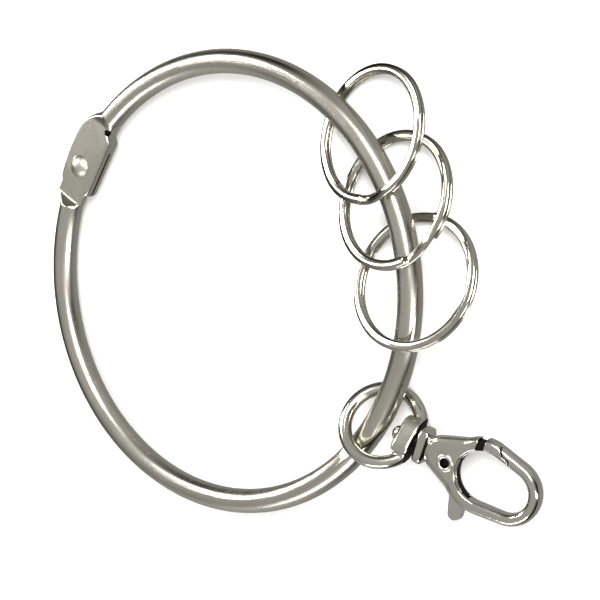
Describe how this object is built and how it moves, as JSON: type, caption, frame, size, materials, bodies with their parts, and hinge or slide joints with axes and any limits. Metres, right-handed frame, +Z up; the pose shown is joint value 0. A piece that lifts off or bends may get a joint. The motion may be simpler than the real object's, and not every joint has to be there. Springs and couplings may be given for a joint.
{
  "type": "key ring",
  "caption": "Large hinged key hoop with small split rings threaded on it and a swivel trigger hook at its closing joint, lying flat.",
  "frame": {"origin": "centre of the large hoop, midway through its rod", "axes": "+Z up from the table that it lies on; the closing joint and hook toward +X, the hinge toward -X, the split rings toward +Y"},
  "size_m": [0.1171, 0.0956, 0.0102],
  "materials": {
    "hoop_nickel": "satin nickel plate on a forged steel rod",
    "rivet_nickel": "polished nickel plate on a rivet",
    "ring_nickel": "polished nickel plate on spring steel wire",
    "hook_nickel": "polished nickel plate on a zinc casting",
    "spring_steel": "bare spring steel wire"
  },
  "bodies": {
    "upper_half": {"upper_half": "hoop_nickel", "hinge_rivet": "rivet_nickel"},
    "lower_half": {"lower_half": "hoop_nickel"},
    "split_ring_1": {"split_ring_1": "ring_nickel"},
    "split_ring_2": {"split_ring_2": "ring_nickel"},
    "split_ring_3": {"split_ring_3": "ring_nickel"},
    "swivel_eye": {"swivel_eye": "hook_nickel"},
    "hook": {"hook_body": "hook_nickel", "trigger_rivet": "rivet_nickel", "trigger_spring": "spring_steel"},
    "trigger": {"trigger": "hook_nickel"}
  },
  "joints": [
    {"name": "hoop_hinge", "type": "hinge", "parent": "upper_half", "child": "lower_half", "pos_m": [-0.04048, 0, -0.00134], "axis": [0.033, 0.0167, -0.9993], "range_deg": [0, 75]},
    {"name": "split_ring_1_slide", "type": "hinge", "parent": "upper_half", "child": "split_ring_1", "pos_m": [0, 0, 0], "axis": [-0.033, -0.0167, 0.9993], "range_deg": [-6, 24]},
    {"name": "split_ring_2_slide", "type": "hinge", "parent": "split_ring_1", "child": "split_ring_2", "pos_m": [0, 0, 0], "axis": [-0.033, -0.0167, 0.9993], "range_deg": [-5, 22]},
    {"name": "split_ring_3_slide", "type": "hinge", "parent": "split_ring_2", "child": "split_ring_3", "pos_m": [0, 0, 0], "axis": [-0.033, -0.0167, 0.9993], "range_deg": [-4, 22]},
    {"name": "eye_slide", "type": "hinge", "parent": "lower_half", "child": "swivel_eye", "pos_m": [0, 0, 0], "axis": [0.033, 0.0167, -0.9993], "range_deg": [0, 140]},
    {"name": "hook_swivel", "type": "hinge", "parent": "swivel_eye", "child": "hook", "pos_m": [0.04161, -0.00233, 0.00133], "axis": [0.9785, 0.169, -0.118], "continuous": true},
    {"name": "trigger_pivot", "type": "hinge", "parent": "hook", "child": "trigger", "pos_m": [0.05504, -0.00072, -0.00028], "axis": [-0.1181, -0.0093, -0.993], "range_deg": [0, 24], "stiffness_Nm_per_rad": 0.03, "springref_deg": -20.05}
  ]
}
